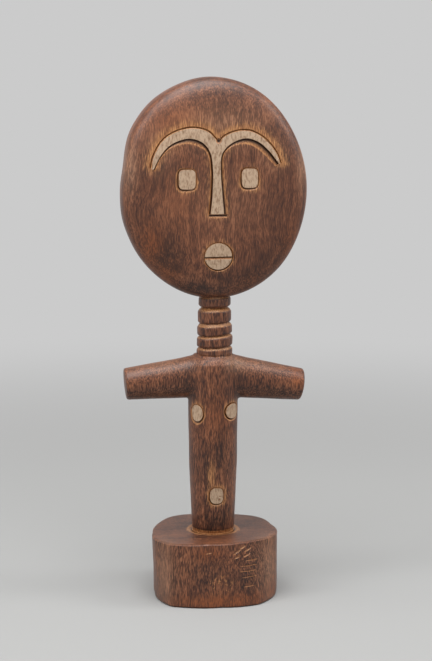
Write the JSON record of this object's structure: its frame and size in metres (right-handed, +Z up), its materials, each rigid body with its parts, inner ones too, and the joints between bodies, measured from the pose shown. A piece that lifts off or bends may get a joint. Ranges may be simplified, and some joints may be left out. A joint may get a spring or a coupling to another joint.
{
  "type": "ashanti fertility doll",
  "caption": "Carved wooden fertility doll with a flat oval head, ringed neck, short straight arms, round trunk and block foot; it stands on its own underside.",
  "frame": {"origin": "under the middle of the doll's box, on the surface that it stands on", "axes": "+Z up through the head, +X to the right as one faces the doll, -Y the way that the face looks"},
  "size_m": [0.1245, 0.087, 0.35],
  "materials": {
    "wood": "dark brown stained and waxed wood, worn to light tan in the cuts, with cream pigment on brow, nose, eyes, mouth, breasts and navel"
  },
  "bodies": {
    "root": {"doll": "wood"}
  },
  "joints": []
}
